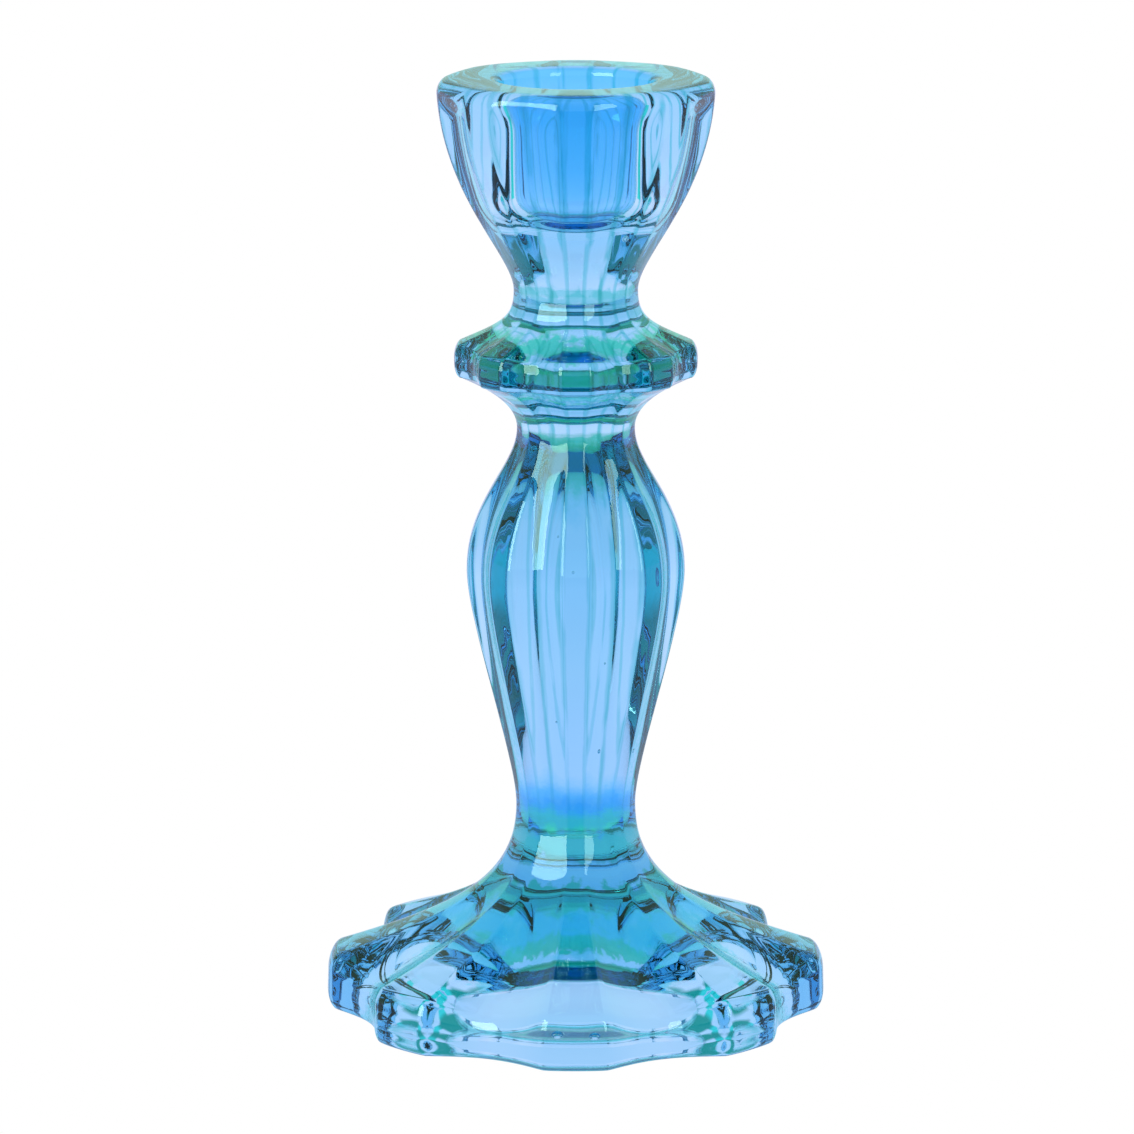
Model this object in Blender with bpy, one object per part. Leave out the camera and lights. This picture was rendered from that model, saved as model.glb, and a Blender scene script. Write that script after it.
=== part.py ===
"""Fluted glass candlestick, 160.5 mm tall, for one standard 22 mm dinner candle.

Four glass pieces stand on one vertical axis and meet at three narrow necks:
scalloped_foot, baluster_stem, drip_collar and socket_cup.  Every piece has the
same eightfold section: blunt ribs every 45 degrees with hollow flutes between.

Metres, +Z up.  The origin is on the axis, on the surface the foot rests on.
"""
import math

import bpy
import bmesh
from mathutils import Vector
from mathutils.geometry import interpolate_bezier

MM = 0.001

# ---- Heights of the joints and of the widest places ----
HEIGHT = 160.5 * MM
CUP_NECK_Z = 124.6 * MM
COLLAR_NECK_Z = 101.0 * MM
BELLY_Z = 76.5 * MM
FOOT_NECK_Z = 35.5 * MM
JOINT_GAP = 0.3 * MM

# ---- Radii over the ribs ----
RIM_RADIUS = 23.35 * MM
CUP_NECK_RADIUS = 10.5 * MM
COLLAR_RADIUS = 20.6 * MM
COLLAR_NECK_RADIUS = 10.0 * MM
BELLY_RADIUS = 18.55 * MM
FOOT_NECK_RADIUS = 10.2 * MM
FOOT_RADIUS = 42.75 * MM

# ---- Edges ----
RIM_ROUND = 2.2 * MM
MOUTH_ROUND = 1.6 * MM
COLLAR_EDGE_TOP = 115.7 * MM
COLLAR_EDGE_BOTTOM = 109.9 * MM
COLLAR_EDGE_INSET = 1.0 * MM
FOOT_EDGE_TOP = 9.9 * MM
FOOT_EDGE_WALL = (6.6 * MM, 3.0 * MM)
FOOT_EDGE_INSET = 1.9 * MM
FOOT_BOTTOM_INSET = 1.6 * MM

# ---- Candle well and the hollow pressed into the underside ----
MOUTH_RADIUS = 12.9 * MM
WELL_FLOOR_RADIUS = 12.7 * MM
WELL_DEPTH = 23.0 * MM
WELL_CORNER = 6.0 * MM
HOLLOW_RADIUS = 31.5 * MM
HOLLOW_HEIGHT = 7.0 * MM
HOLLOW_FLAT_RADIUS = 15.0 * MM

# ---- Ribs and flutes ----
LOBES = 8
RIB_HALF_ANGLE = math.radians(7.5)
LOBE_ANGLE = 2.0 * math.pi / LOBES
STEPS_PER_LOBE = 6
NECK_FLUTE = 0.015
RIM_FLUTE = 0.075
LIP_FLUTE = 0.018
COLLAR_FLUTE = 0.09
BELLY_FLUTE = 0.10
STEM_TOP_GROWTH = 0.45
FOOT_FLUTE = 0.095
LIP_FADE_TOP = HEIGHT - 1.2 * MM
LIP_FADE = 5.0 * MM
COLLAR_DROP = 0.5 * MM
FOOT_DROP = 2.4 * MM

# ---- Glass ----
GLASS_TINT = (0.36, 0.70, 0.96, 1.0)
GLASS_ROUGHNESS = 0.03
GLASS_IOR = 1.5


# --------------------------------------------------------------------------
# Outlines: lists of (radius, height) down or up one side of the turned form
# --------------------------------------------------------------------------

def bezier(start, start_handle, end_handle, end, steps):
    """Points of one cubic curve from start to end, both ends included."""
    knots = [Vector((r, z, 0.0)) for r, z in (start, start_handle, end_handle, end)]
    points = interpolate_bezier(knots[0], knots[1], knots[2], knots[3], steps + 1)
    return [(p.x, p.y) for p in points]


def corner(start, through, end, steps):
    """A rounded corner from start to end whose sides would meet at through."""
    circle = 0.5523
    first = [a + (b - a) * circle for a, b in zip(start, through)]
    second = [a + (b - a) * circle for a, b in zip(end, through)]
    return bezier(start, first, second, end, steps)


def chain(*runs):
    """Join runs of points end to end, keeping each shared point once."""
    points = list(runs[0])
    for run in runs[1:]:
        points += run[1:]
    return points


# --------------------------------------------------------------------------
# Sections: a ring is (radius, height, flute depth as a share, flute drop)
# --------------------------------------------------------------------------

def flute(angle):
    """0 on a rib, rising to 1 along a hollow arc in the middle of a flute."""
    from_rib = abs((angle + LOBE_ANGLE / 2) % LOBE_ANGLE - LOBE_ANGLE / 2)
    half_flute = LOBE_ANGLE / 2 - RIB_HALF_ANGLE
    across = (LOBE_ANGLE / 2 - from_rib) / half_flute
    return max(0.0, 1.0 - across * across)


def fluted(points, narrow, wide, depth, drop=0.0, growth=1.0):
    """Rings whose flutes deepen from a neck to the widest radius; growth under 1 deepens them sooner."""
    rings = []
    for radius, height in points:
        share = max(0.0, (radius - narrow) / (wide - narrow)) ** growth
        rings.append((radius, height, NECK_FLUTE + (depth - NECK_FLUTE) * share, drop * share))
    return rings


def plain(points):
    """Round rings."""
    return [(radius, height, 0.0, 0.0) for radius, height in points]


def faded(ring):
    """The same ring with its flutes dying out toward the round lip."""
    radius, height, depth, drop = ring
    left = min(1.0, max(0.0, (LIP_FADE_TOP - height) / LIP_FADE))
    ease = left * left * (3.0 - 2.0 * left)
    return radius, height, LIP_FLUTE + (depth - LIP_FLUTE) * ease, drop


def ring_angles():
    """Angles round the axis: rib centres, rib corners and even steps between."""
    rib_to_flute = (LOBE_ANGLE - 2 * RIB_HALF_ANGLE) / (STEPS_PER_LOBE - 2)
    offsets = [0.0] + [RIB_HALF_ANGLE + rib_to_flute * k for k in range(STEPS_PER_LOBE - 1)]
    return [lobe * LOBE_ANGLE + offset for lobe in range(LOBES) for offset in offsets]


# --------------------------------------------------------------------------
# Building
# --------------------------------------------------------------------------

def loft(name, rings, material, collection):
    """A closed solid skinned over the rings, with a flat cap at each end."""
    bm = bmesh.new()
    angles = ring_angles()
    skin = []
    for radius, height, depth, drop in rings:
        ring = []
        for angle in angles:
            hollow = flute(angle)
            r = radius * (1.0 - depth * hollow)
            z = height - drop * hollow
            ring.append(bm.verts.new((r * math.cos(angle), r * math.sin(angle), z)))
        skin.append(ring)
    count = len(angles)
    for lower, upper in zip(skin, skin[1:]):
        for i in range(count):
            j = (i + 1) % count
            bm.faces.new((lower[i], lower[j], upper[j], upper[i]))
    bm.faces.new(list(reversed(skin[0])))
    bm.faces.new(skin[-1])
    bmesh.ops.recalc_face_normals(bm, faces=bm.faces)

    mesh = bpy.data.meshes.new(name)
    bm.to_mesh(mesh)
    bm.free()
    mesh.materials.append(material)
    mesh.shade_smooth()
    mesh.set_sharp_from_angle(angle=math.radians(40))
    solid = bpy.data.objects.new(name, mesh)
    collection.objects.link(solid)
    return solid


def glass(name):
    """Tinted pressed glass."""
    material = bpy.data.materials.new(name)
    material.use_nodes = True
    shader = material.node_tree.nodes["Principled BSDF"]
    shader.inputs["Base Color"].default_value = GLASS_TINT
    shader.inputs["Metallic"].default_value = 0.0
    shader.inputs["Roughness"].default_value = GLASS_ROUGHNESS
    shader.inputs["IOR"].default_value = GLASS_IOR
    shader.inputs["Transmission Weight"].default_value = 1.0
    return material


# --------------------------------------------------------------------------
# The four pieces
# --------------------------------------------------------------------------

def scalloped_foot(collection):
    """Trumpet foot with eight blunt lobes, a resting ring and a shallow hollow below."""
    shoulder = (FOOT_RADIUS - FOOT_EDGE_INSET, FOOT_EDGE_TOP)
    flare = bezier((FOOT_NECK_RADIUS, FOOT_NECK_Z - JOINT_GAP / 2),
                   (FOOT_NECK_RADIUS, FOOT_NECK_Z - 13.6 * MM),
                   (shoulder[0] - 20.5 * MM, shoulder[1] + 6.8 * MM),
                   shoulder, 10)
    wall_top, wall_bottom = FOOT_EDGE_WALL
    brow = corner(shoulder, (FOOT_RADIUS - 0.2 * MM, FOOT_EDGE_TOP - 0.6 * MM),
                  (FOOT_RADIUS - 0.1 * MM, wall_top), 3)
    heel = corner((FOOT_RADIUS, wall_bottom), (FOOT_RADIUS, 0.0),
                  (FOOT_RADIUS - FOOT_BOTTOM_INSET, 0.0), 3)

    rings = fluted(flare, FOOT_NECK_RADIUS, shoulder[0], FOOT_FLUTE, FOOT_DROP)
    edge_share = FOOT_DROP / FOOT_EDGE_TOP
    for radius, height in chain(brow, brow[-1:] + heel)[1:]:
        rings.append((radius, height, FOOT_FLUTE, height * edge_share))

    dome = bezier((HOLLOW_RADIUS, 0.0), (HOLLOW_RADIUS - 1.0 * MM, HOLLOW_HEIGHT * 0.8),
                  (HOLLOW_FLAT_RADIUS + 8.0 * MM, HOLLOW_HEIGHT),
                  (HOLLOW_FLAT_RADIUS, HOLLOW_HEIGHT), 6)
    rings += plain(dome)
    return loft("scalloped_foot", rings, glass("foot_glass"), collection)


def baluster_stem(collection):
    """Fluted baluster between the foot's neck and the collar's neck."""
    upper = bezier((COLLAR_NECK_RADIUS, COLLAR_NECK_Z - JOINT_GAP / 2),
                   (COLLAR_NECK_RADIUS, COLLAR_NECK_Z - 6.8 * MM),
                   (BELLY_RADIUS, BELLY_Z + 12.0 * MM),
                   (BELLY_RADIUS, BELLY_Z), 9)
    lower = bezier((BELLY_RADIUS, BELLY_Z),
                   (BELLY_RADIUS, BELLY_Z - 9.0 * MM),
                   (FOOT_NECK_RADIUS, FOOT_NECK_Z + 7.7 * MM),
                   (FOOT_NECK_RADIUS, FOOT_NECK_Z + JOINT_GAP / 2), 10)
    above = fluted(upper, COLLAR_NECK_RADIUS, BELLY_RADIUS, BELLY_FLUTE, growth=STEM_TOP_GROWTH)
    below = fluted(lower, FOOT_NECK_RADIUS, BELLY_RADIUS, BELLY_FLUTE)
    rings = chain(above, below)
    return loft("baluster_stem", rings, glass("stem_glass"), collection)


def drip_collar(collection):
    """Eight-lobed collar with its own short necks above and below."""
    edge = COLLAR_RADIUS - COLLAR_EDGE_INSET
    middle = (COLLAR_EDGE_TOP + COLLAR_EDGE_BOTTOM) / 2
    upper = bezier((CUP_NECK_RADIUS, CUP_NECK_Z - JOINT_GAP / 2),
                   (CUP_NECK_RADIUS, CUP_NECK_Z - 5.1 * MM),
                   (CUP_NECK_RADIUS + 2.5 * MM, COLLAR_EDGE_TOP + 2.9 * MM),
                   (edge, COLLAR_EDGE_TOP), 6)
    brow = corner(upper[-1], (COLLAR_RADIUS, COLLAR_EDGE_TOP - 0.4 * MM),
                  (COLLAR_RADIUS, middle + 0.5 * MM), 3)
    chin = corner((COLLAR_RADIUS, middle - 0.5 * MM), (COLLAR_RADIUS, COLLAR_EDGE_BOTTOM),
                  (edge, COLLAR_EDGE_BOTTOM), 3)
    lower = bezier(chin[-1],
                   (edge - 4.1 * MM, COLLAR_EDGE_BOTTOM - 1.8 * MM),
                   (COLLAR_NECK_RADIUS, COLLAR_NECK_Z + 4.4 * MM),
                   (COLLAR_NECK_RADIUS, COLLAR_NECK_Z + JOINT_GAP / 2), 6)
    above = fluted(chain(upper, brow), CUP_NECK_RADIUS, COLLAR_RADIUS, COLLAR_FLUTE, COLLAR_DROP)
    below = fluted(chain(chin, lower), COLLAR_NECK_RADIUS, COLLAR_RADIUS, COLLAR_FLUTE)
    return loft("drip_collar", above + below, glass("collar_glass"), collection)


def socket_cup(collection):
    """Tulip cup with a thick rim and the round well that holds the candle."""
    bowl_top = (RIM_RADIUS, HEIGHT - 2.5 * MM)
    bowl = bezier((CUP_NECK_RADIUS, CUP_NECK_Z + JOINT_GAP / 2),
                  (CUP_NECK_RADIUS, CUP_NECK_Z + 5.9 * MM),
                  (RIM_RADIUS - 1.15 * MM, bowl_top[1] - 18.0 * MM),
                  bowl_top, 15)
    lip = corner(bowl_top, (RIM_RADIUS, HEIGHT), (RIM_RADIUS - RIM_ROUND, HEIGHT), 3)
    rings = [faded(ring) for ring in fluted(chain(bowl, lip), CUP_NECK_RADIUS, RIM_RADIUS, RIM_FLUTE)]

    floor = HEIGHT - WELL_DEPTH
    mouth = corner((MOUTH_RADIUS + MOUTH_ROUND, HEIGHT), (MOUTH_RADIUS, HEIGHT),
                   (MOUTH_RADIUS, HEIGHT - MOUTH_ROUND), 3)
    bottom = corner((WELL_FLOOR_RADIUS, floor + WELL_CORNER), (WELL_FLOOR_RADIUS, floor),
                    (WELL_FLOOR_RADIUS - WELL_CORNER, floor), 6)
    rings += plain(mouth + bottom)
    return loft("socket_cup", rings, glass("cup_glass"), collection)


def main():
    for leftover in list(bpy.data.objects):
        bpy.data.objects.remove(leftover, do_unlink=True)
    collection = bpy.data.collections.new("glass_candlestick")
    bpy.context.scene.collection.children.link(collection)
    scalloped_foot(collection)
    baluster_stem(collection)
    drip_collar(collection)
    socket_cup(collection)


main()
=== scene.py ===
import math

import bpy
import bmesh
from mathutils import Matrix, Vector, noise
from mathutils.geometry import interpolate_bezier


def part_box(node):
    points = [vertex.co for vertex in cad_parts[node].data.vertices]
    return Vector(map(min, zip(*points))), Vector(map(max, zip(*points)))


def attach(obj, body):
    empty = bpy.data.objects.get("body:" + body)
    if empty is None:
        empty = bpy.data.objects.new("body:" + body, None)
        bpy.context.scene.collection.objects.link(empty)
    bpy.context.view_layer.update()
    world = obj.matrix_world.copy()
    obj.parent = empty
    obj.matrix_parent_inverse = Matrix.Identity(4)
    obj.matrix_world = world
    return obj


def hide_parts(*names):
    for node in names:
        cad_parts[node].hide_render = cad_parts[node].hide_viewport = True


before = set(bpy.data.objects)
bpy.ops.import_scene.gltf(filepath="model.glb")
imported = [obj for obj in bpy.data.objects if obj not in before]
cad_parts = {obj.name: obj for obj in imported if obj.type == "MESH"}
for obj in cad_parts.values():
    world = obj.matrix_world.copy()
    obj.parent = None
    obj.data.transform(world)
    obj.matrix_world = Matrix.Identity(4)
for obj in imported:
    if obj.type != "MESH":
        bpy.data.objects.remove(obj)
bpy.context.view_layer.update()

MM = 0.001

# ---- Sizes and places taken from the frame ----
FOOT_LOW, FOOT_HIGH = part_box("scalloped_foot")
STEM_LOW, STEM_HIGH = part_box("baluster_stem")
COLLAR_LOW, COLLAR_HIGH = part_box("drip_collar")
CUP_LOW, CUP_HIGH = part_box("socket_cup")
GROUND = FOOT_LOW.z
HEIGHT = CUP_HIGH.z
FOOT_NECK_Z = (FOOT_HIGH.z + STEM_LOW.z) / 2
COLLAR_NECK_Z = (STEM_HIGH.z + COLLAR_LOW.z) / 2
CUP_NECK_Z = (COLLAR_HIGH.z + CUP_LOW.z) / 2
FOOT_RADIUS = FOOT_HIGH.x
BELLY_RADIUS = STEM_HIGH.x
COLLAR_RADIUS = COLLAR_HIGH.x
RIM_RADIUS = CUP_HIGH.x
BELLY_Z = COLLAR_NECK_Z - 24.5 * MM

# ---- Shape of the glass ----
FOOT_NECK_RADIUS = 10.2 * MM
COLLAR_NECK_RADIUS = 10.0 * MM
CUP_NECK_RADIUS = 10.5 * MM
FOOT_EDGE_TOP = 9.9 * MM
FOOT_EDGE_WALL = (6.6 * MM, 3.0 * MM)
FOOT_EDGE_INSET = 1.9 * MM
FOOT_BOTTOM_INSET = 1.6 * MM
COLLAR_EDGE_TOP = CUP_NECK_Z - 8.9 * MM
COLLAR_EDGE_BOTTOM = COLLAR_NECK_Z + 8.9 * MM
COLLAR_EDGE_INSET = 1.0 * MM
RIM_ROUND = 2.2 * MM
MOUTH_ROUND = 1.6 * MM
MOUTH_RADIUS = 12.9 * MM
WELL_FLOOR_RADIUS = 12.7 * MM
WELL_DEPTH = 23.0 * MM
WELL_FLOOR_Z = HEIGHT - WELL_DEPTH
WELL_CORNER = 6.0 * MM
HOLLOW_RADIUS = 31.5 * MM
HOLLOW_HEIGHT = 7.0 * MM
HOLLOW_FLAT_RADIUS = 15.0 * MM
AXIS_HOLE = 0.2 * MM       # innermost ring, closed by a fan of triangles

LOBES = 8
LOBE_ANGLE = 2 * math.pi / LOBES
RIB_HALF_ANGLE = math.radians(7.5)
RIB_SOFTNESS = 0.06
STEPS_AROUND = 288

# Depth of the flutes as a share of the radius, and how far they dip at an edge.
NECK_FLUTE = 0.015
RIM_FLUTE = 0.075
LIP_FLUTE = 0.018
LIP_FADE = 5.0 * MM
LIP_FADE_TOP = HEIGHT - 1.2 * MM
COLLAR_FLUTE = 0.09
BELLY_FLUTE = 0.10
STEM_TOP_GROWTH = 0.45
FOOT_FLUTE = 0.095
COLLAR_DROP = 0.5 * MM
FOOT_DROP = 2.4 * MM
ARC_HANDLE = 0.5523        # handle length that turns a curve into a quarter ellipse

# ---- Flow marks and bubbles left by the pressing ----
STREAK = 0.045 * MM
RIPPLE = 0.012 * MM
FOOT_WAVE = 0.05 * MM
FOOT_WAVE_TOP = 40.0 * MM
FOOT_WAVE_FADE = 12.0 * MM
SMOOTH_BELOW_FLUTE = 0.012
# Noise steps per metre, across and along the height.
STREAK_PITCH, RIPPLE_PITCH, WAVE_PITCH = (240, 30), (700, 220), (150, 260)
# Centre, radius and half height, all in millimetres.
BUBBLES = [((7.8, -9.2, 135.6), 0.6, 0.6), ((-2.9, -37.2, 5.4), 0.9, 0.5), ((3.0, -37.2, 5.2), 0.9, 0.5),
           ((-2.2, -13.0, 84.6), 0.2, 0.2), ((-0.4, -12.0, 78.6), 0.24, 0.2),
           ((-2.6, -9.0, 52.4), 0.22, 0.2), ((4.4, -11.5, 63.0), 0.2, 0.2),
           ((1.2, 8.0, 45.5), 0.3, 0.4), ((-8.5, 6.0, 130.2), 0.4, 0.5)]

# ---- Colour of the glass, with shade and reflection painted into its base colour. White leaves the plain blue of the volume. ----
WHITE = (1.0, 1.0, 1.0)
# TEAL and the two collar colours are painted shade, used in the height bands.
TEAL = (0.12, 1.0, 0.5)
COLLAR_GREEN = (0.06, 0.88, 0.34)
COLLAR_TEAL = (0.3, 0.8, 0.7)
IOR = 1.5
SPECULAR_TINT = (0.62, 1.0, 0.97)
VOLUME_COLOUR = (0.04, 0.67, 0.88)
VOLUME_DENSITY = 40.0
RIPPLE_SCALE, GRAIN_SCALE, STREAK_SCALE = 220.0, 1300.0, 420.0
STREAK_STRETCH = 0.12      # streaks are drawn out along the height
# Painted edge shade, by how much the surface turns away from the ray: teal at grazing angles stands in
# for the dark surroundings refracted and reflected at the edges.
EDGE_GRAIN = 0.30
EDGE_PAINTED_SHADE = [(0.0, WHITE), (0.60, WHITE), (0.74, (0.2, 0.86, 0.7)), (0.87, (0.05, 0.66, 0.5)),
              (1.0, (0.01, 0.36, 0.26))]
# Painted shade in the well, by height within it as a share of its depth: deeper blue towards the rim
# stands in for the shadow and extra bounces seen through its walls.
WELL_PAINTED_SHADE = [(0.1, (0.34, 0.72, 1.0)), (0.45, (0.16, 0.60, 0.98)), (0.95, (0.05, 0.52, 0.92))]
WELL_TINT_RADIUS = (15.0 * MM, 13.4 * MM)
WELL_TINT_FLOOR = (WELL_FLOOR_Z - 1.0 * MM, WELL_FLOOR_Z - 0.5 * MM)
# Painted shade and reflection bands by height in millimetres: the foot, its neck, the stem, the collar,
# the cup's neck. The teal, green and blue bands stand in for dark surroundings the glass refracts at
# those heights.
PAINTED_SHADE_BANDS = [
    (13.6, WHITE), (15.4, (0.34, 0.88, 0.78)), (17.0, (0.16, 0.78, 0.78)), (19.5, (0.12, 0.74, 0.82)),
    (20.8, (0.04, 0.73, 0.36)), (23.8, (0.03, 0.68, 0.27)), (24.5, WHITE), (27.0, WHITE),
    (28.0, (0.03, 0.5, 0.28)), (29.0, TEAL), (32.2, TEAL),
    (34.0, (0.1, 0.56, 1.0)), (37.5, (0.12, 0.56, 1.0)), (39.5, (0.45, 0.78, 1.0)),
    (42.0, (0.76, 0.88, 1.0)), (62.0, WHITE), (87.0, WHITE), (90.5, (0.5, 0.85, 0.95)),
    (93.5, (0.07, 0.64, 0.42)), (96.5, (0.02, 0.57, 0.25)), (99.0, (0.04, 0.62, 0.29)), (101.0, WHITE),
    (111.5, WHITE), (113.4, (0.7, 0.92, 0.9)), (115.4, WHITE), (116.2, COLLAR_GREEN),
    (118.2, COLLAR_GREEN), (118.8, WHITE),
    (122.2, WHITE), (123.6, COLLAR_TEAL), (125.4, COLLAR_TEAL), (126.2, WHITE)]
HEIGHT_RIPPLE, HEIGHT_STREAK, HEIGHT_GRAIN = 2.5 * MM, 5.0 * MM, 2.0 * MM
# Painted shade lines around one lobe, from the middle of a rib to the middle of the next: teal at the
# rib corners and down each flute's middle stands in for dark surroundings refracted there.
CORNER_LINE_SHADE = (0.12, 0.68, 0.62)
FLUTE_LINE_SHADE = (0.06, 0.66, 0.56)
UPRIGHT_SHADE_LINES = [
    (0.0, WHITE), (0.115, WHITE), (0.14, CORNER_LINE_SHADE), (0.185, CORNER_LINE_SHADE), (0.225, WHITE),
    (0.44, WHITE), (0.478, FLUTE_LINE_SHADE), (0.522, FLUTE_LINE_SHADE), (0.56, WHITE),
    (0.775, WHITE), (0.815, CORNER_LINE_SHADE), (0.86, CORNER_LINE_SHADE), (0.885, WHITE)]
LINE_RIPPLE = 0.05
# Strength of those painted shade lines by height, by streak and from left to right; the +X side is
# painted darker.
LINE_HEIGHTS = [(0.0, 0.0), (0.20, 0.0), (0.26, 0.7), (1.0, 1.0)]
LINE_STREAKS = (0.28, 0.44)
LINE_WIDTH = (-10.0 * MM, 12.0 * MM)
LINE_SIDES = [(0.0, 0.75), (1.0, 1.0)]

# ---- Studio ----
BRIGHT = (0.92, 0.92, 1.2)
DARK = (0.02, 0.38, 0.34)
LOW_FRONT = (0.06, 0.84, 0.82)
TOP = (0.15, 0.64, 0.55)
SHEEN = (0.62, 0.95, 0.86)
SHEEN_TOP = (0.3, 0.6, 0.55)
# World colours by the sine of the elevation.
LOW_SKY = [(0.0, BRIGHT), (0.34, BRIGHT), (0.44, DARK), (0.80, DARK), (0.92, TOP)]
HIGH_SKY = [(0.0, BRIGHT), (0.68, BRIGHT), (0.80, DARK), (0.92, TOP)]
DARK_SKY = [(0.0, LOW_FRONT), (0.25, LOW_FRONT), (0.40, DARK), (0.80, DARK), (0.92, TOP)]
REFLECTED_SKY = [(0.0, SHEEN), (0.9, SHEEN), (1.0, SHEEN_TOP)]
# Strength of the dark sky by degrees from straight behind.
DARK_SIDES = [(180, 1), (150, 1), (144, 0), (78, 0), (74, 1), (62, 1), (58, 0), (0, 0)]
BEHIND = (0.5, 0.7)
FLOOR_RADIUS = 4.0
SEEN_FLOOR_Z = GROUND - 0.05 * MM
LIT_FLOOR_Z = GROUND - 0.1 * MM
FLOOR_SPAN = 0.5
# Painted blue shadow of the glass on the floor it sees: bluish under and around the foot, fading to
# bright far off.
FLOOR_PAINTED_SHADOW = [
    (0.0, (0.5, 0.72, 1.05)), (0.08, (0.5, 0.72, 1.05)), (0.1, (0.72, 0.84, 1.05)),
    (0.14, (0.6, 0.78, 1.0)), (0.4, (0.72, 0.82, 1.1)), (1.0, BRIGHT)]
FLOOR_FAR = [(0.0, 0.0), (0.10, 0.0), (0.16, 1.0)]
FRONT_SHADE = [(0.0, WHITE), (1.0, (0.03, 0.3, 0.22))]
FRONT_SECTOR = (-0.88, -0.96)
LIGHT_COLOUR = (1.0, 1.0, 0.88)
LIGHT_AIM = Vector((0.0, 0.0, 0.08))
LIGHT_DISTANCE = 1.2
LIGHT_HEIGHT = 0.9

# ---- Camera ----
CAMERA_DISTANCE = 1.028
CAMERA_HEIGHT = 0.304
CAMERA_AIM = Vector((-0.0015, 0.0, 0.0767))
CAMERA_LENS = 196.6


# ---- Outlines: rings of (radius, height, flute depth, drop) ----
def bezier(start, start_handle, end_handle, end, steps):
    knots = [Vector((r, z, 0.0)) for r, z in (start, start_handle, end_handle, end)]
    points = interpolate_bezier(knots[0], knots[1], knots[2], knots[3], steps + 1)
    return [(p.x, p.y) for p in points]


def corner(start, through, end, steps):
    first = [a + (b - a) * ARC_HANDLE for a, b in zip(start, through)]
    second = [a + (b - a) * ARC_HANDLE for a, b in zip(end, through)]
    return bezier(start, first, second, end, steps)


def chain(*runs):
    points = list(runs[0])
    for run in runs[1:]:
        points += run[1:]
    return points


def flute(angle):
    """0 on a rib, 1 in the middle of a flute, with softened rib corners."""
    from_rib = abs((angle + LOBE_ANGLE / 2) % LOBE_ANGLE - LOBE_ANGLE / 2)
    half_flute = LOBE_ANGLE / 2 - RIB_HALF_ANGLE
    across = (LOBE_ANGLE / 2 - from_rib) / half_flute
    depth = 1.0 - across * across
    return 0.5 * (depth + math.sqrt(depth * depth + RIB_SOFTNESS * RIB_SOFTNESS))


def fluted(points, narrow, wide, depth, drop=0.0, growth=1.0):
    """Flutes that deepen from a neck to the widest radius; growth under 1 deepens them sooner."""
    rings = []
    for radius, height in points:
        share = max(0.0, (radius - narrow) / (wide - narrow)) ** growth
        rings.append((radius, height, NECK_FLUTE + (depth - NECK_FLUTE) * share, drop * share))
    return rings


def plain(points):
    return [(radius, height, 0.0, 0.0) for radius, height in points]


def foot_rings():
    shoulder = (FOOT_RADIUS - FOOT_EDGE_INSET, FOOT_EDGE_TOP)
    wall_top, wall_bottom = FOOT_EDGE_WALL
    dome = bezier((HOLLOW_RADIUS, 0.0), (HOLLOW_RADIUS - 1.0 * MM, HOLLOW_HEIGHT * 0.8),
                  (HOLLOW_FLAT_RADIUS + 8.0 * MM, HOLLOW_HEIGHT),
                  (HOLLOW_FLAT_RADIUS, HOLLOW_HEIGHT), 30)
    middle = bezier((AXIS_HOLE, HOLLOW_HEIGHT), (5 * MM, HOLLOW_HEIGHT),
                    (10 * MM, HOLLOW_HEIGHT), (HOLLOW_FLAT_RADIUS, HOLLOW_HEIGHT), 8)
    heel = corner((FOOT_RADIUS, wall_bottom), (FOOT_RADIUS, 0.0),
                  (FOOT_RADIUS - FOOT_BOTTOM_INSET, 0.0), 10)
    brow = corner(shoulder, (FOOT_RADIUS - 0.2 * MM, FOOT_EDGE_TOP - 0.6 * MM),
                  (FOOT_RADIUS - 0.1 * MM, wall_top), 12)
    flare = bezier((FOOT_NECK_RADIUS, FOOT_NECK_Z), (FOOT_NECK_RADIUS, FOOT_NECK_Z - 13.6 * MM),
                   (shoulder[0] - 20.5 * MM, shoulder[1] + 6.8 * MM), shoulder, 64)
    rings = plain(chain(middle, list(reversed(dome))))
    edge = list(reversed(chain(brow, brow[-1:] + heel)))
    for step in (0.25, 0.5, 0.75):
        radius = HOLLOW_RADIUS + (edge[0][0] - HOLLOW_RADIUS) * step
        rings.append((radius, 0.0, FOOT_FLUTE * step, 0.0))
    share = FOOT_DROP / FOOT_EDGE_TOP
    rings += [(radius, height, FOOT_FLUTE, height * share) for radius, height in edge[:-1]]
    rings += list(reversed(fluted(flare, FOOT_NECK_RADIUS, shoulder[0], FOOT_FLUTE, FOOT_DROP)))
    return rings


def stem_rings():
    lower = bezier((FOOT_NECK_RADIUS, FOOT_NECK_Z), (FOOT_NECK_RADIUS, FOOT_NECK_Z + 7.7 * MM),
                   (BELLY_RADIUS, BELLY_Z - 9.0 * MM), (BELLY_RADIUS, BELLY_Z), 52)
    upper = bezier((BELLY_RADIUS, BELLY_Z), (BELLY_RADIUS, BELLY_Z + 12.0 * MM),
                   (COLLAR_NECK_RADIUS, COLLAR_NECK_Z - 6.8 * MM),
                   (COLLAR_NECK_RADIUS, COLLAR_NECK_Z), 34)
    below = fluted(lower, FOOT_NECK_RADIUS, BELLY_RADIUS, BELLY_FLUTE)
    above = fluted(upper, COLLAR_NECK_RADIUS, BELLY_RADIUS, BELLY_FLUTE, growth=STEM_TOP_GROWTH)
    return chain(below, above)


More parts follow.
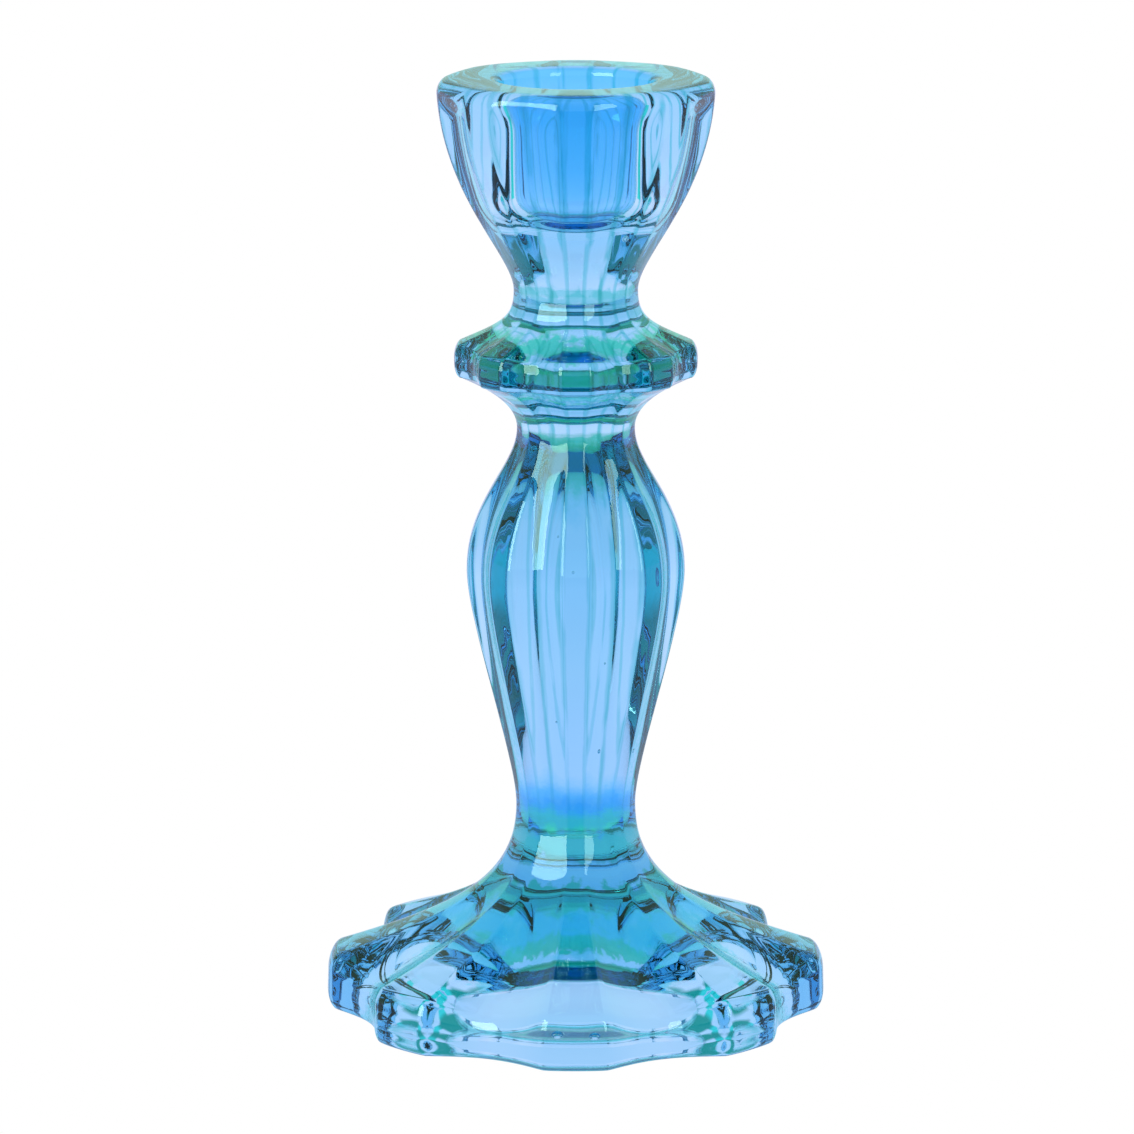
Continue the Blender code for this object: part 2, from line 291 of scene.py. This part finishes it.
def collar_rings():
    edge = COLLAR_RADIUS - COLLAR_EDGE_INSET
    middle = (COLLAR_EDGE_TOP + COLLAR_EDGE_BOTTOM) / 2
    lower = bezier((COLLAR_NECK_RADIUS, COLLAR_NECK_Z),
                   (COLLAR_NECK_RADIUS, COLLAR_NECK_Z + 4.4 * MM),
                   (edge - 4.1 * MM, COLLAR_EDGE_BOTTOM - 1.8 * MM),
                   (edge, COLLAR_EDGE_BOTTOM), 22)
    chin = corner((edge, COLLAR_EDGE_BOTTOM), (COLLAR_RADIUS, COLLAR_EDGE_BOTTOM),
                  (COLLAR_RADIUS, middle - 0.5 * MM), 8)
    brow = corner((COLLAR_RADIUS, middle + 0.5 * MM), (COLLAR_RADIUS, COLLAR_EDGE_TOP - 0.4 * MM),
                  (edge, COLLAR_EDGE_TOP), 8)
    upper = bezier((edge, COLLAR_EDGE_TOP), (CUP_NECK_RADIUS + 2.5 * MM, COLLAR_EDGE_TOP + 2.9 * MM),
                   (CUP_NECK_RADIUS, CUP_NECK_Z - 5.1 * MM), (CUP_NECK_RADIUS, CUP_NECK_Z), 22)
    below = fluted(chain(lower, chin), COLLAR_NECK_RADIUS, COLLAR_RADIUS, COLLAR_FLUTE)
    above = fluted(chain(brow, upper), CUP_NECK_RADIUS, COLLAR_RADIUS, COLLAR_FLUTE, COLLAR_DROP)
    return below + above


def faded(ring):
    """Flutes die out into the round lip."""
    radius, height, depth, drop = ring
    left = min(1.0, max(0.0, (LIP_FADE_TOP - height) / LIP_FADE))
    ease = left * left * (3 - 2 * left)
    return radius, height, LIP_FLUTE + (depth - LIP_FLUTE) * ease if left < 1 else depth, drop


def cup_rings():
    bowl_top = (RIM_RADIUS, HEIGHT - 2.5 * MM)
    bowl = bezier((CUP_NECK_RADIUS, CUP_NECK_Z), (CUP_NECK_RADIUS, CUP_NECK_Z + 5.9 * MM),
                  (RIM_RADIUS - 1.15 * MM, bowl_top[1] - 18.0 * MM), bowl_top, 50)
    lip = corner(bowl_top, (RIM_RADIUS, HEIGHT), (RIM_RADIUS - RIM_ROUND, HEIGHT), 10)
    rings = [faded(ring) for ring in fluted(chain(bowl, lip), CUP_NECK_RADIUS, RIM_RADIUS, RIM_FLUTE)]
    mouth = corner((MOUTH_RADIUS + MOUTH_ROUND, HEIGHT), (MOUTH_RADIUS, HEIGHT),
                   (MOUTH_RADIUS, HEIGHT - MOUTH_ROUND), 10)
    for step in (0.25, 0.5, 0.75):
        radius = (RIM_RADIUS - RIM_ROUND) * (1 - step) + mouth[0][0] * step
        rings.append((radius, HEIGHT, LIP_FLUTE * (1 - step), 0.0))
    wall = bezier(mouth[-1], (MOUTH_RADIUS - 0.1 * MM, HEIGHT - 8 * MM),
                  (WELL_FLOOR_RADIUS + 0.1 * MM, HEIGHT - 12 * MM),
                  (WELL_FLOOR_RADIUS, WELL_FLOOR_Z + WELL_CORNER), 20)
    bottom = corner(wall[-1], (WELL_FLOOR_RADIUS, WELL_FLOOR_Z),
                    (WELL_FLOOR_RADIUS - WELL_CORNER, WELL_FLOOR_Z), 8)
    middle = bezier(bottom[-1], (6 * MM, WELL_FLOOR_Z), (3 * MM, WELL_FLOOR_Z),
                    (AXIS_HOLE, WELL_FLOOR_Z), 8)
    return rings + plain(chain(mouth, wall, bottom, middle))


# ---- The glass body ----
def waviness(x, y, height, pitch):
    across, along = pitch
    return noise.noise(Vector((x * across, y * across, height * along)))


def flow_mark(radius, height, angle):
    """Slight waviness of the outer skin: long upright streaks, and softer waves on the foot."""
    x, y = radius * math.cos(angle), radius * math.sin(angle)
    foot = min(1.0, max(0.0, (FOOT_WAVE_TOP - height) / FOOT_WAVE_FADE))
    streak = waviness(x, y, height, STREAK_PITCH) * STREAK
    ripple = waviness(x, y, height, RIPPLE_PITCH) * RIPPLE
    wave = waviness(x, y, height, WAVE_PITCH) * FOOT_WAVE
    return streak * (1 - foot) + wave * foot + ripple


def add_bubble(bm, place, radius, half_height):
    """A closed cavity: its skin faces inward."""
    size = Matrix.Diagonal((radius * MM, radius * MM, half_height * MM, 1))
    spot = Matrix.Translation(Vector(place) * MM) @ size
    made = bmesh.ops.create_icosphere(bm, subdivisions=3, radius=1.0, matrix=spot)
    faces = {face for vert in made["verts"] for face in vert.link_faces}
    bmesh.ops.reverse_faces(bm, faces=list(faces))


def add_ring(bm, ring, angles, hollows):
    radius, height, depth, drop = ring
    marked = depth > SMOOTH_BELOW_FLUTE and height > 0.0
    verts = []
    for angle, hollow in zip(angles, hollows):
        wavy = flow_mark(radius, height, angle) if marked else 0.0
        r = radius * (1.0 - depth * hollow) + wavy
        z = height - drop * hollow
        verts.append(bm.verts.new((r * math.cos(angle), r * math.sin(angle), z)))
    return verts


def glass_body(name):
    bm = bmesh.new()
    rings = foot_rings() + stem_rings()[1:] + collar_rings()[1:] + cup_rings()[1:]
    angles = [2 * math.pi * k / STEPS_AROUND for k in range(STEPS_AROUND)]
    hollows = [flute(a) for a in angles]
    skin = [add_ring(bm, ring, angles, hollows) for ring in rings]
    for lower, upper in zip(skin, skin[1:]):
        for i in range(STEPS_AROUND):
            j = (i + 1) % STEPS_AROUND
            bm.faces.new((lower[i], lower[j], upper[j], upper[i]))
    for ring in (skin[0], skin[-1]):
        centre = bm.verts.new((0.0, 0.0, ring[0].co.z))
        for i in range(STEPS_AROUND):
            bm.faces.new((ring[i], ring[(i + 1) % STEPS_AROUND], centre))
    bmesh.ops.recalc_face_normals(bm, faces=bm.faces)
    for place, radius, half_height in BUBBLES:
        add_bubble(bm, place, radius, half_height)
    mesh = bpy.data.meshes.new(name)
    bm.to_mesh(mesh)
    bm.free()
    mesh.shade_smooth()
    body = bpy.data.objects.new(name, mesh)
    bpy.context.scene.collection.objects.link(body)
    return body


# ---- Shader nodes ----
class Graph:
    """Adds shader nodes to one tree and links them."""

    def __init__(self, tree):
        self.nodes, self.links = tree.nodes, tree.links

    def add(self, kind, **settings):
        node = self.nodes.new("ShaderNode" + kind)
        for name, value in settings.items():
            setattr(node, name, value)
        return node

    def feed(self, node, slot, value):
        """Link another node's output, or set a constant."""
        if isinstance(value, bpy.types.NodeSocket):
            self.links.new(value, node.inputs[slot])
        else:
            node.inputs[slot].default_value = value

    def white(self):
        node = self.add("RGB")
        node.outputs[0].default_value = (*WHITE, 1.0)
        return node.outputs[0]

    def split(self, vector):
        node = self.add("SeparateXYZ")
        self.feed(node, 0, vector)
        return node.outputs

    def math(self, operation, *values):
        node = self.add("Math", operation=operation)
        for slot, value in enumerate(values):
            self.feed(node, slot, value)
        return node.outputs[0]

    def vector(self, operation, *values):
        node = self.add("VectorMath", operation=operation)
        for slot, value in enumerate(values):
            self.feed(node, slot, value)
        return node.outputs["Value" if operation == "LENGTH" else "Vector"]

    def noise(self, place, scale, detail):
        node = self.add("TexNoise")
        for slot, value in (("Vector", place), ("Scale", scale), ("Detail", detail)):
            self.feed(node, slot, value)
        return node.outputs["Fac"]

    def share(self, value, low, high):
        """0 at low, 1 at high, and clamped."""
        node = self.add("MapRange")
        for slot, source in (("Value", value), ("From Min", low), ("From Max", high)):
            self.feed(node, slot, source)
        return node.outputs["Result"]

    def shifted(self, value, field, amount):
        """value moved up and down by a noise field that averages a half."""
        node = self.add("MapRange", clamp=False)
        for slot, source in (("Value", field), ("To Min", -amount / 2), ("To Max", amount / 2)):
            self.feed(node, slot, source)
        return self.math("ADD", value, node.outputs["Result"])

    def ramp(self, value, stops):
        node = self.add("ValToRGB")
        elements = node.color_ramp.elements
        for position, _ in stops[2:]:
            elements.new(position)
        for element, (position, colour) in zip(elements, stops):
            element.position = position
            element.color = (*colour, 1.0)
        self.feed(node, "Fac", value)
        return node.outputs["Color"]

    def grey_ramp(self, value, stops):
        return self.ramp(value, [(position, (level, level, level)) for position, level in stops])

    def mix(self, first, second, kind="MULTIPLY", factor=1.0):
        node = self.add("Mix", data_type="RGBA", blend_type=kind)
        for slot, value in (("Factor", factor), ("A", first), ("B", second)):
            self.feed(node, slot, value)
        return node.outputs["Result"]


def new_graph(material):
    material.use_nodes = True
    return Graph(material.node_tree)


# ---- Glass material ----
def painted_edge_shade(graph, grain):
    """Painted shade: teal where the surface turns away, standing in for the dark surroundings seen at
    the edges.
    """
    facing = graph.add("LayerWeight")
    facing.inputs["Blend"].default_value = 0.5
    return graph.ramp(graph.shifted(facing.outputs["Facing"], grain, EDGE_GRAIN), EDGE_PAINTED_SHADE)


def well_mask(graph, split):
    """1 on the skin of the well, 0 elsewhere."""
    flat = graph.add("CombineXYZ")
    graph.feed(flat, "X", split["X"])
    graph.feed(flat, "Y", split["Y"])
    inside = graph.share(graph.vector("LENGTH", flat.outputs[0]), *WELL_TINT_RADIUS)
    return graph.math("MULTIPLY", inside, graph.share(split["Z"], *WELL_TINT_FLOOR))


# Painted shade: the well's skin in deeper blue, white elsewhere.
def painted_well_shade(graph, split, mask):
    azure = graph.ramp(graph.share(split["Z"], WELL_FLOOR_Z, HEIGHT), WELL_PAINTED_SHADE)
    return graph.mix(graph.white(), azure, "MIX", mask)


def height_share(graph, split, ripple, streak, grain):
    """Height as a share of the whole, with wavy and streaky levels."""
    wavy = graph.shifted(split["Z"], ripple, HEIGHT_RIPPLE)
    wavy = graph.shifted(graph.shifted(wavy, streak, HEIGHT_STREAK), grain, HEIGHT_GRAIN)
    return graph.share(wavy, 0.0, HEIGHT)


def shade_line_mask(graph, split, span, streak, in_well):
    """Where the painted shade lines show: above the foot, broken into streaks, outside the well and
    stronger towards +X.
    """
    shown = graph.grey_ramp(span, LINE_HEIGHTS)
    shown = graph.math("MULTIPLY", shown, graph.share(streak, *LINE_STREAKS))
    denser = graph.grey_ramp(graph.share(split["X"], *LINE_WIDTH), LINE_SIDES)
    shown = graph.math("MULTIPLY", shown, denser)
    return graph.math("MULTIPLY", shown, graph.share(in_well, 1.0, 0.0))


def painted_upright_shade(graph, split, ripple):
    """Painted shade: deeper colour along the rib corners and down the middle of each flute, standing in
    for dark surroundings refracted there.
    """
    angle = graph.math("ARCTAN2", split["Y"], split["X"])
    lobe = graph.shifted(graph.math("DIVIDE", angle, LOBE_ANGLE), ripple, LINE_RIPPLE)
    return graph.ramp(graph.math("FRACT", lobe), UPRIGHT_SHADE_LINES)


def glass_shader(graph):
    shader = graph.nodes["Principled BSDF"]
    shader.inputs["Roughness"].default_value = 0.0
    shader.inputs["IOR"].default_value = IOR
    shader.inputs["Transmission Weight"].default_value = 1.0
    shader.inputs["Specular Tint"].default_value = (*SPECULAR_TINT, 1.0)
    volume = graph.add("VolumeAbsorption")
    volume.inputs["Color"].default_value = (*VOLUME_COLOUR, 1.0)
    volume.inputs["Density"].default_value = VOLUME_DENSITY
    graph.links.new(volume.outputs["Volume"], graph.nodes["Material Output"].inputs["Volume"])
    return shader


def glass_material():
    material = bpy.data.materials.new("blue_pressed_glass")
    graph = new_graph(material)
    shader = glass_shader(graph)
    place = graph.add("TexCoord").outputs["Object"]
    split = graph.split(place)
    ripple = graph.noise(place, RIPPLE_SCALE, 2.0)
    grain = graph.noise(place, GRAIN_SCALE, 2.0)
    streak = graph.noise(graph.vector("MULTIPLY", place, (1.0, 1.0, STREAK_STRETCH)), STREAK_SCALE, 1.0)
    in_well = well_mask(graph, split)
    span = height_share(graph, split, ripple, streak, grain)
    # Painted shade and reflection bands by height, their edges made wavy.
    height = graph.ramp(span, [(z * MM / HEIGHT, colour) for z, colour in PAINTED_SHADE_BANDS])
    shown = shade_line_mask(graph, split, span, streak, in_well)
    # Painted shade lines, laid over white where the mask shows them.
    lines = graph.mix(graph.white(), painted_upright_shade(graph, split, ripple), "MIX", shown)
    # Painted edge shade, times the painted well shade and the painted shade lines.
    tint = graph.mix(painted_edge_shade(graph, grain), graph.mix(painted_well_shade(graph, split, in_well), lines))
    graph.feed(shader, "Base Color", graph.mix(tint, height))
    return material


# ---- Studio ----
def emission(name):
    material = bpy.data.materials.new(name)
    graph = new_graph(material)
    light = graph.add("Emission")
    graph.feed(light, "Color", (*WHITE, 1.0))
    graph.links.new(light.outputs[0], graph.nodes["Material Output"].inputs["Surface"])
    return material, graph, light


def disc(name, radius, height, material):
    bm = bmesh.new()
    bmesh.ops.create_circle(bm, cap_ends=True, segments=96, radius=radius,
                            matrix=Matrix.Translation((0.0, 0.0, height)))
    mesh = bpy.data.meshes.new(name)
    bm.to_mesh(mesh)
    bm.free()
    mesh.materials.append(material)
    body = bpy.data.objects.new(name, mesh)
    bpy.context.scene.collection.objects.link(body)
    return body


def softbox(name, azimuth, elevation, width, strength):
    """An upright soft light, its azimuth measured from the front toward +X."""
    data = bpy.data.lights.new(name, "AREA")
    data.shape = "RECTANGLE"
    data.size = width
    data.size_y = LIGHT_HEIGHT
    data.energy = strength
    data.color = LIGHT_COLOUR
    lamp = bpy.data.objects.new(name, data)
    a, e = math.radians(azimuth - 90.0), math.radians(elevation)
    direction = Vector((math.cos(e) * math.cos(a), math.cos(e) * math.sin(a), math.sin(e)))
    lamp.location = LIGHT_AIM + direction * LIGHT_DISTANCE
    lamp.rotation_mode = "QUATERNION"
    lamp.rotation_quaternion = (-direction).to_track_quat("-Z", "Y")
    lamp.visible_camera = False
    lamp.visible_transmission = False
    bpy.context.scene.collection.objects.link(lamp)


def turned(graph, direction):
    """Cosine of the angle between a direction and straight behind the candlestick, seen from above."""
    flat = graph.vector("MULTIPLY", direction, (1.0, 1.0, 0.0))
    return graph.split(graph.vector("NORMALIZE", flat))["Y"]


def dark_sides(graph, turn):
    stops = [((math.cos(math.radians(degrees)) + 1) / 2, level) for degrees, level in DARK_SIDES]
    return graph.grey_ramp(graph.share(turn, -1.0, 1.0), stops)


def world_light():
    """Bright low down and dark above to refracted rays, a soft sheen to reflected ones.

    The camera sees plain white.
    """
    world = bpy.data.worlds.new("studio")
    bpy.context.scene.world = world
    world.use_nodes = True
    graph = Graph(world.node_tree)
    direction = graph.add("TexCoord").outputs["Generated"]
    rise = graph.split(direction)["Z"]
    turn = turned(graph, direction)
    sky = graph.mix(graph.ramp(rise, LOW_SKY), graph.ramp(rise, HIGH_SKY), "MIX",
                    graph.share(turn, *BEHIND))
    sky = graph.mix(sky, graph.ramp(rise, DARK_SKY), "MIX", dark_sides(graph, turn))
    ray = graph.add("LightPath").outputs
    sky = graph.mix(sky, graph.ramp(rise, REFLECTED_SKY), "MIX", ray["Is Reflection Ray"])
    sky = graph.mix(sky, graph.white(), "MIX", ray["Is Camera Ray"])
    graph.feed(graph.nodes["Background"], "Color", sky)


def floor_seen():
    """The plain pale floor that the camera sees."""
    material, _, _ = emission("floor_white")
    seen = disc("floor", FLOOR_RADIUS, SEEN_FLOOR_Z, material)
    for kind in ("diffuse", "glossy", "transmission", "volume_scatter", "shadow"):
        setattr(seen, "visible_" + kind, False)


def floor_under():
    """The floor as the glass refracts and reflects it, with a painted blue shadow around the foot,
    shaded far off in front.
    """
    material, graph, light = emission("floor_lit")
    place = graph.add("TexCoord").outputs["Object"]
    span = graph.share(graph.vector("LENGTH", place), 0.0, FLOOR_SPAN)
    # Painted blue shadow around the foot, by distance from the axis.
    tint = graph.ramp(span, FLOOR_PAINTED_SHADOW)
    shade = graph.ramp(graph.share(turned(graph, place), *FRONT_SECTOR), FRONT_SHADE)
    far = graph.grey_ramp(span, FLOOR_FAR)
    graph.feed(light, "Color", graph.mix(tint, graph.mix(tint, shade), "MIX", far))
    under = disc("floor_under", FLOOR_RADIUS, LIT_FLOOR_Z, material)
    under.visible_camera = False


def camera():
    data = bpy.data.cameras.new("camera")
    data.lens = CAMERA_LENS
    data.sensor_width = 36.0
    data.clip_start = 0.01
    data.clip_end = 20.0
    rig = bpy.data.objects.new("camera", data)
    rig.location = (0.0, -CAMERA_DISTANCE, CAMERA_HEIGHT)
    rig.rotation_mode = "QUATERNION"
    rig.rotation_quaternion = (CAMERA_AIM - rig.location).to_track_quat("-Z", "Y")
    bpy.context.scene.collection.objects.link(rig)
    bpy.context.scene.camera = rig


body = glass_body("candlestick_glass")
body.data.materials.append(glass_material())
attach(body, "root")
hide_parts("scalloped_foot", "baluster_stem", "drip_collar", "socket_cup")
world_light()
floor_seen()
floor_under()
softbox("key_left", azimuth=-43.0, elevation=19.0, width=0.66, strength=15.0)
softbox("fill_right", azimuth=32.0, elevation=19.0, width=0.3, strength=4.6)
camera()
bpy.context.scene.view_settings.view_transform = "Standard"
